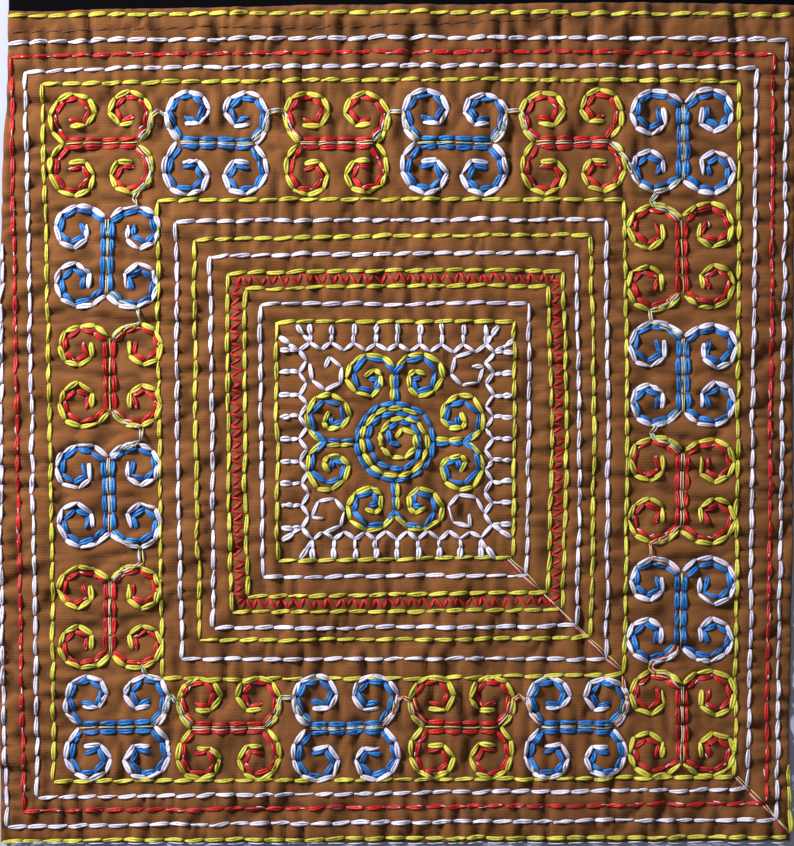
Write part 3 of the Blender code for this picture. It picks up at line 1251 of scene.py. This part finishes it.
def grid_faces(shape: tuple[int, int], first: int, flipped: bool) -> list[list[int]]:
    """The quads of a grid of points numbered row by row from first."""
    rows, columns = shape
    index = np.arange(rows * columns).reshape(rows, columns) + first
    quads = np.stack([index[:-1, :-1], index[:-1, 1:], index[1:, 1:], index[1:, :-1]], axis=-1)
    quads = quads.reshape(-1, 4)
    return (quads[:, ::-1] if flipped else quads).tolist()


def ring(shape: tuple[int, int], first: int) -> Array:
    """The numbers of a grid's edge points, anticlockwise from the first corner."""
    rows, columns = shape
    index = np.arange(rows * columns).reshape(rows, columns) + first
    return np.concatenate([index[0, :-1], index[:-1, -1], index[-1, :0:-1], index[:0:-1, 0]])


def edge_faces(fine: tuple[int, int], coarse: tuple[int, int], offset: int) -> list[list[int]]:
    """Triangles between a fine grid's edge and a coarse grid's, two fine cells to each coarse one."""
    outer, inner = ring(fine, 0), ring(coarse, offset)
    a, b, c = outer[0::2], outer[1::2], np.roll(outer, -2)[0::2]
    d, e = inner, np.roll(inner, -1)
    triangles = [np.stack(three, axis=1) for three in ((b, a, d), (c, b, e), (b, d, e))]
    return np.concatenate(triangles).tolist()


def mesh_object(name: str, points: Array, faces: list[list[int]]) -> bpy.types.Object:
    """A smooth-shaded mesh object at the origin."""
    mesh = bpy.data.meshes.new(name)
    mesh.from_pydata(points.tolist(), [], faces)
    mesh.polygons.foreach_set("use_smooth", np.ones(len(mesh.polygons), bool))
    mesh.update()
    made = bpy.data.objects.new(name, mesh)
    bpy.context.scene.collection.objects.link(made)
    return made


def point_attribute(piece: bpy.types.Object, name: str, values: Array) -> None:
    """Gives each vertex a number that the material reads."""
    attribute = piece.data.attributes.new(name, "FLOAT", "POINT")
    attribute.data.foreach_set("value", values.astype(np.float32))


@dataclass
class TopBand:
    """The black band under the panel's top edge: a plain strip with softly rounded edges."""

    ground: PanelGround
    cell: float = 0.0012
    rounding: float = 0.00035

    def build(self) -> bpy.types.Object:
        """A closed strip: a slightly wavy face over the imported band's box, its edges rolled under."""
        low, high = (np.array(corner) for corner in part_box("top_band"))
        across = np.linspace(0.0, 1.0, round((high[0] - low[0]) / self.cell) + 1)
        profile = np.radians(np.concatenate([np.linspace(-90, 90, 5), [90] * 11, np.linspace(90, 270, 5)]))
        bulge = self.rounding * np.cos(profile)
        height = self.rounding * np.sin(profile)
        slide = np.concatenate([np.ones(5), np.linspace(1.0, 0.0, 13)[1:-1], np.zeros(5)])
        x = low[0] + (high[0] - low[0]) * across[:, None] + 0.0 * slide
        near = np.interp(x[:, 0], self.ground.along_x, self.ground.top)[:, None] - 4.1 * MM
        far = high[1] - self.rounding
        y = near + (far - near) * slide + np.where(slide > 0.5, bulge, bulge)
        wave = LatticeNoise(31, 0.011, 0.02).at(x, y) * 0.00004
        thick = (high[2] - low[2]) / 2
        z = low[2] + thick + height * thick / self.rounding + np.where(height > 0, wave - 0.00004, 0.0)
        rows = np.stack([x, y, z], axis=-1)
        count, around = rows.shape[:2]
        index = np.arange(count * around).reshape(count, around)
        nxt = np.roll(index, -1, axis=1)
        quads = np.stack([index[:-1], nxt[:-1], nxt[1:], index[1:]], axis=-1).reshape(-1, 4)
        faces = quads.tolist() + [index[0, ::-1].tolist(), index[-1].tolist()]
        band = mesh_object("black_band", rows.reshape(-1, 3), faces)
        # the black band gets no painted shade
        point_attribute(band, "painted_shade", np.zeros(rows[..., 0].size))
        return band


# Thread in the round


@dataclass
class ThreadMaker:
    """Turns planned stitches into plies: tapered tubes that part, twist a little and meet at the holes."""

    cloth: PanelCloth
    plan: StitchPlan
    sides: int = 6
    stations: tuple[float, ...] = (0.0, 0.045, 0.18, 0.39, 0.61, 0.82, 0.955, 1.0)
    dive: float = 0.00034
    end_shade: float = 0.45
    flatness: float = 0.82

    def build(self) -> dict[str, bpy.types.Object]:
        """One object for each piece named in the plan."""
        made = {}
        for name in sorted({run.piece for run in self.plan.runs}):
            runs = [run for run in self.plan.runs if run.piece == name]
            made[name] = self._piece(name, runs)
        return made

    def _piece(self, name: str, runs: list[Run]) -> bpy.types.Object:
        """All plies of some runs as one mesh with its UV map and its tone attribute, which carries painted shade at
        each ply's ends.
        """
        rings, reaches, tones_and_end_shades = [], [], []
        for run in runs:
            for ply in range(run.kind.plies):
                centres, radii = self._centre_line(run, ply)
                rings.append(self._tube(centres, radii))
                reaches.append(self._lengths(centres))
                # painted shade: each ply's tone darkens towards its holes, where it dives into the cloth
                swell = np.sin(math.pi * np.array(self.stations)) ** 0.5
                tones_and_end_shades.append(self.tone[:, None] - self.end_shade * (1 - swell)[None, :])
        tubes, reach, tone = (np.concatenate(parts) for parts in (rings, reaches, tones_and_end_shades))
        count = len(tubes)
        stations, sides = len(self.stations), self.sides
        index = np.arange(count * stations * sides).reshape(count, stations, sides)
        ahead = np.roll(index, -1, axis=2)
        quads = np.stack([index[:, :-1], ahead[:, :-1], ahead[:, 1:], index[:, 1:]], axis=-1).reshape(-1, 4)
        faces = quads.tolist() + index[:, 0, ::-1].tolist() + index[:, -1].tolist()
        piece = mesh_object(name, tubes.reshape(-1, 3), faces)
        point_attribute(piece, "tone", np.repeat(tone.reshape(-1, 1), sides, axis=1).ravel())
        self._map(piece, reach, count)
        return piece

    def _centre_line(self, run: Run, ply: int) -> tuple[Array, Array]:
        """The line and radius of one ply of each stitch.

        The ply runs straight between its holes, set off sideways and up by a slow twist and a small
        sag, both fading to nothing at the holes, and rests on the cloth by its own radius.

        Args:
            run: the stitches.
            ply: which of the plies.

        Returns:
            Points (stitch, station, xyz) and radii (stitch, station).
        """
        starts = self.cloth.ground.to_metres(run.starts)
        ends = self.cloth.ground.to_metres(run.ends)
        seed = int(abs(run.starts.sum() * 8)) % 100003
        rng = np.random.default_rng(seed)
        count = len(starts)
        share = np.array(self.stations)[None, :]
        swell = np.sin(math.pi * share) ** 0.36
        ahead = unit(ends - starts)
        across = np.stack([-ahead[:, 1], ahead[:, 0]], axis=1)
        phase = rng.normal(0.0, 0.45, (count, 1)) + (math.pi if ply else 0.0)
        twist = rng.normal(0.0, 0.9, (count, 1))
        fat = rng.uniform(0.86, 1.12, (count, 1))
        bow = rng.normal(0.0, 1.0, (count, 1)) * run.kind.slack
        self.tone = rng.uniform(0.36, 0.64, count)
        angle = phase + twist * (share - 0.5) * 2
        aside = run.kind.parting * fat * np.cos(angle) * swell + bow * 4 * share * (1 - share)
        raise_by = run.kind.parting * 0.5 * np.sin(angle) * swell + run.kind.lift * swell
        flat = starts[:, None, :] + (ends - starts)[:, None, :] * share[..., None]
        flat = flat + across[:, None, :] * aside[..., None]
        radii = run.kind.radius * fat * (0.58 + 0.42 * swell) * rng.uniform(0.92, 1.08, (count, share.shape[1]))
        rest = self.cloth.surface(flat[..., 0], flat[..., 1])
        height = rest + raise_by + radii * 0.55 - self.dive * (1 - swell)
        height = np.maximum(height, radii)
        return np.concatenate([flat, height[..., None]], axis=-1), radii

    def _tube(self, centres: Array, radii: Array) -> Array:
        """Rings around the centre lines, a little flatter than wide."""
        tangent = unit(np.gradient(centres, axis=1))
        side = unit(np.stack([-tangent[..., 1], tangent[..., 0], np.zeros_like(tangent[..., 0])], axis=-1))
        above = np.cross(tangent, side)
        turn = np.arange(self.sides) * 2 * math.pi / self.sides - math.pi / 2
        wide = side[:, :, None, :] * np.cos(turn)[None, None, :, None]
        tall = above[:, :, None, :] * np.sin(turn)[None, None, :, None] * self.flatness
        return centres[:, :, None, :] + (wide + tall) * radii[:, :, None, None]

    def _lengths(self, centres: Array) -> Array:
        """Millimetres along each ply, from a start of its own."""
        steps = np.linalg.norm(np.diff(centres, axis=1), axis=-1)
        run = np.concatenate([np.zeros((len(centres), 1)), np.cumsum(steps, axis=1)], axis=1) / MM
        return run + (np.arange(len(centres)) * 7.31 % 97.0)[:, None]

    def _map(self, piece: bpy.types.Object, reach: Array, count: int) -> None:
        """The UV map ply: around the ply from 0 to 1, and along it in millimetres."""
        stations, sides = reach.shape[1], self.sides
        u = np.arange(sides) / sides
        u_ahead = u + 1.0 / sides
        low, high = reach[:, :-1, None], reach[:, 1:, None]
        shape = (count, stations - 1, sides)
        corners = [(u, low), (u_ahead, low), (u_ahead, high), (u, high)]
        quads = np.stack(
            [np.stack(np.broadcast_arrays(a + np.zeros(shape), b + np.zeros(shape)), axis=-1) for a, b in corners],
            axis=3,
        ).reshape(-1, 2)
        caps = [np.stack(np.broadcast_arrays(u, reach[:, end, None]), axis=-1).reshape(-1, 2) for end in (0, -1)]
        layer = piece.data.uv_layers.new(name="ply")
        layer.data.foreach_set("uv", np.concatenate([quads, *caps]).astype(np.float32).ravel())


# Studio


@dataclass
class Studio:
    """A pale floor, soft light from the upper left and a camera straight above the panel."""

    ground: PanelGround
    lens: float = 110.0
    sensor: float = 36.0

    def build(self) -> None:
        """Sets the floor, the lights, the world and the camera."""
        self._floor()
        self._light("key_light", (-0.42, 0.31, 0.34), 0.14, 7.6)
        self._light("fill_light", (0.60, -0.30, 0.75), 0.80, 0.9)
        self._world()
        self._camera()

    def _floor(self) -> None:
        """A plain pale floor just under the cloth."""
        half = 1.6
        points = np.array([(-half, -half, 0), (half, -half, 0), (half, half, 0), (-half, half, 0)], float)
        points[:, 2] = -0.0001
        floor = mesh_object("floor", points, [[0, 1, 2, 3]])
        shop = NodeShop(bpy.data.materials.new("pale_floor"))
        shop.shader.inputs["Base Color"].default_value = (0.40, 0.42, 0.53, 1.0)
        shop.shader.inputs["Roughness"].default_value = 0.8
        floor.data.materials.append(shop.material)

    def _light(self, name: str, place: tuple[float, float, float], size: float, power: float) -> None:
        """A square soft light aimed at the panel's middle."""
        data = bpy.data.lights.new(name, "AREA")
        data.size = size
        data.energy = power
        lamp = bpy.data.objects.new(name, data)
        bpy.context.scene.collection.objects.link(lamp)
        lamp.location = place
        lamp.rotation_euler = (Vector(self.ground.middle) - Vector(place)).to_track_quat("-Z", "Y").to_euler()

    def _world(self) -> None:
        """Even grey light from all round."""
        world = bpy.data.worlds.new("studio")
        world.use_nodes = True
        back = world.node_tree.nodes["Background"]
        back.inputs["Color"].default_value = (0.80, 0.88, 1.0, 1.0)
        back.inputs["Strength"].default_value = 0.20
        bpy.context.scene.world = world
        bpy.context.scene.view_settings.view_transform = "Standard"

    def _camera(self) -> None:
        """Straight above: the picture's height spans its own number of chart units on the cloth."""
        data = bpy.data.cameras.new("camera")
        data.lens = self.lens
        data.sensor_width = self.sensor
        span = PICTURE_SIZE[1] * CHART_UNIT
        camera = bpy.data.objects.new("camera", data)
        bpy.context.scene.collection.objects.link(camera)
        height = span * self.lens / self.sensor
        camera.location = (self.ground.middle[0], self.ground.middle[1], self.ground.middle[2] + height)
        bpy.context.scene.camera = camera


def corners(box: tuple[Vector, Vector]) -> list[list[float]]:
    """A box as two plain lists."""
    return [list(corner) for corner in box]


def main() -> None:
    """Builds the pattern, the cloth, the threads and the studio, in that order."""
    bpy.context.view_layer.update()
    ground = PanelGround()
    plan = StitchPlan()
    for part in (SquareBorders, EdgeRows, ScrollBand, CentreFlower, LatticeFence, CornerTails):
        part(plan).sew()
        LOG.info("%s: %d stitches so far", part.__name__, plan.counted())
    cloth = PanelCloth(ground, plan)
    panel = cloth.build()
    panel.data.materials.append(BROWN_COTTON.material())
    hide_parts("panel")
    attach(panel, "root")
    band = TopBand(ground).build()
    band.data.materials.append(BLACK_COTTON.material())
    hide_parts("top_band")
    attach(band, "root")
    materials = {thread: finish.material() for thread, finish in FINISHES.items()}
    threads = {run.piece: run.thread for run in plan.runs}
    sewn = ThreadMaker(cloth, plan).build()
    for name, piece in sewn.items():
        piece.data.materials.append(materials[threads[name]])
        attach(piece, "root")
        LOG.info("%s: %d faces", name, len(piece.data.polygons))
    size = ground.high - ground.low
    Studio(ground).build()


if __name__ == "__main__":
    logging.basicConfig(level=logging.INFO, format="%(message)s")
    main()
